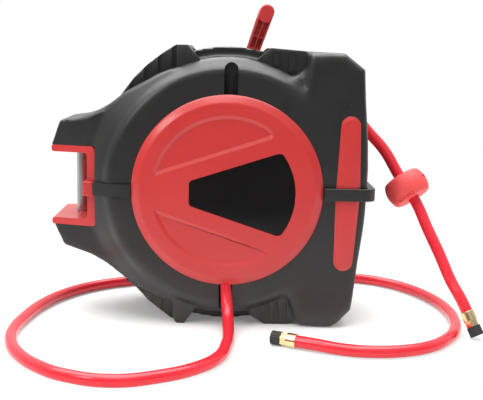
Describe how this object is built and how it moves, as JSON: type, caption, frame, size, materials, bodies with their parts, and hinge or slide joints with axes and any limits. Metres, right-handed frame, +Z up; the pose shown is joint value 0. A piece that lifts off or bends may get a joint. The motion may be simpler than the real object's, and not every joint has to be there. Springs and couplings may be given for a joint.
{
  "type": "retractable air hose reel",
  "caption": "Wall-mounted retractable air hose reel: a moulded black case with red side covers, a sprung drum, a roller outlet, a feed hose and an outlet hose with a stop ball.",
  "frame": {"origin": "on the floor, under the middle of the case's box without the hoses", "axes": "+Z up, the front cover faces -Y, +X towards the hose outlet"},
  "size_m": [0.4803, 0.39, 0.331],
  "materials": {
    "black_case": "satin moulded plastic",
    "gloss_black": "gloss",
    "red_plastic": "semi-gloss moulded plastic",
    "red_hose": "glossy hose",
    "brass": "turned",
    "steel": "zinc plated",
    "nylon": "moulded nylon",
    "black_cap": "soft moulded"
  },
  "bodies": {
    "case": {"front_shell": "black_case", "rear_shell": "black_case", "front_cover": "red_plastic", "rear_cover": "red_plastic", "front_insert": "gloss_black", "rear_insert": "gloss_black", "front_stripe": "red_plastic", "rear_stripe": "red_plastic", "right_band": "black_case", "left_bands": "black_case", "band_clips": "red_plastic", "yoke_liner": "red_plastic", "case_screws": "steel", "outlet_frame": "red_plastic", "roller_pins": "steel", "main_axle": "steel", "axle_rings": "steel", "inlet_elbow": "brass", "inlet_ferrule": "brass", "swivel_seals": "black_cap", "spring_arbor": "nylon", "pawl_pin": "steel", "handle_pins": "steel", "feed_hose": "red_hose", "feed_ferrule": "brass", "feed_fitting": "brass", "feed_cap": "black_cap", "outlet_hose": "red_hose", "stop_ball_upper": "red_plastic", "stop_ball_lower": "red_plastic", "stop_screws": "steel", "outlet_ferrule": "brass", "outlet_fitting": "brass", "outlet_cap": "black_cap"},
    "drum": {"drum_hub": "nylon", "front_flange": "nylon", "rear_flange": "nylon", "ratchet_ring": "steel", "hub_bushes": "nylon", "drum_screws": "steel", "swivel_sleeve": "brass", "drum_barb": "brass", "hose_winding": "red_hose", "power_spring": "steel"},
    "roller_top": {"top_roller": "nylon"},
    "roller_bottom": {"bottom_roller": "nylon"},
    "roller_front": {"front_roller": "nylon"},
    "roller_rear": {"rear_roller": "nylon"},
    "handle": {"carry_handle": "red_plastic"},
    "latch": {"pawl": "steel"},
    "mount_swivel": {"swivel_pin": "steel"}
  },
  "joints": [
    {"name": "drum_spin", "type": "hinge", "parent": "case", "child": "drum", "pos_m": [0.0165, 0, 0.145], "axis": [0, 1, 0], "continuous": true},
    {"name": "top_roller_spin", "type": "hinge", "parent": "case", "child": "roller_top", "pos_m": [0.1525, 0, 0.235], "axis": [0, 1, 0], "continuous": true},
    {"name": "bottom_roller_spin", "type": "hinge", "parent": "case", "child": "roller_bottom", "pos_m": [0.1525, 0, 0.195], "axis": [0, 1, 0], "continuous": true},
    {"name": "front_roller_spin", "type": "hinge", "parent": "case", "child": "roller_front", "pos_m": [0.1405, -0.015, 0.215], "axis": [0, 0, 1], "continuous": true},
    {"name": "rear_roller_spin", "type": "hinge", "parent": "case", "child": "roller_rear", "pos_m": [0.1405, 0.015, 0.215], "axis": [0, 0, 1], "continuous": true},
    {"name": "handle_fold", "type": "hinge", "parent": "case", "child": "handle", "pos_m": [0.0395, 0, 0.281], "axis": [0, 1, 0], "range_deg": [-95, 0]},
    {"name": "pawl_click", "type": "hinge", "parent": "case", "child": "latch", "pos_m": [-0.0521, 0, 0.12003], "axis": [0, 1, 0], "range_deg": [0, 16]},
    {"name": "wall_swing", "type": "hinge", "parent": "case", "child": "mount_swivel", "pos_m": [-0.143, 0, 0.142], "axis": [0, 0, 1], "range_deg": [-90, 90]}
  ]
}
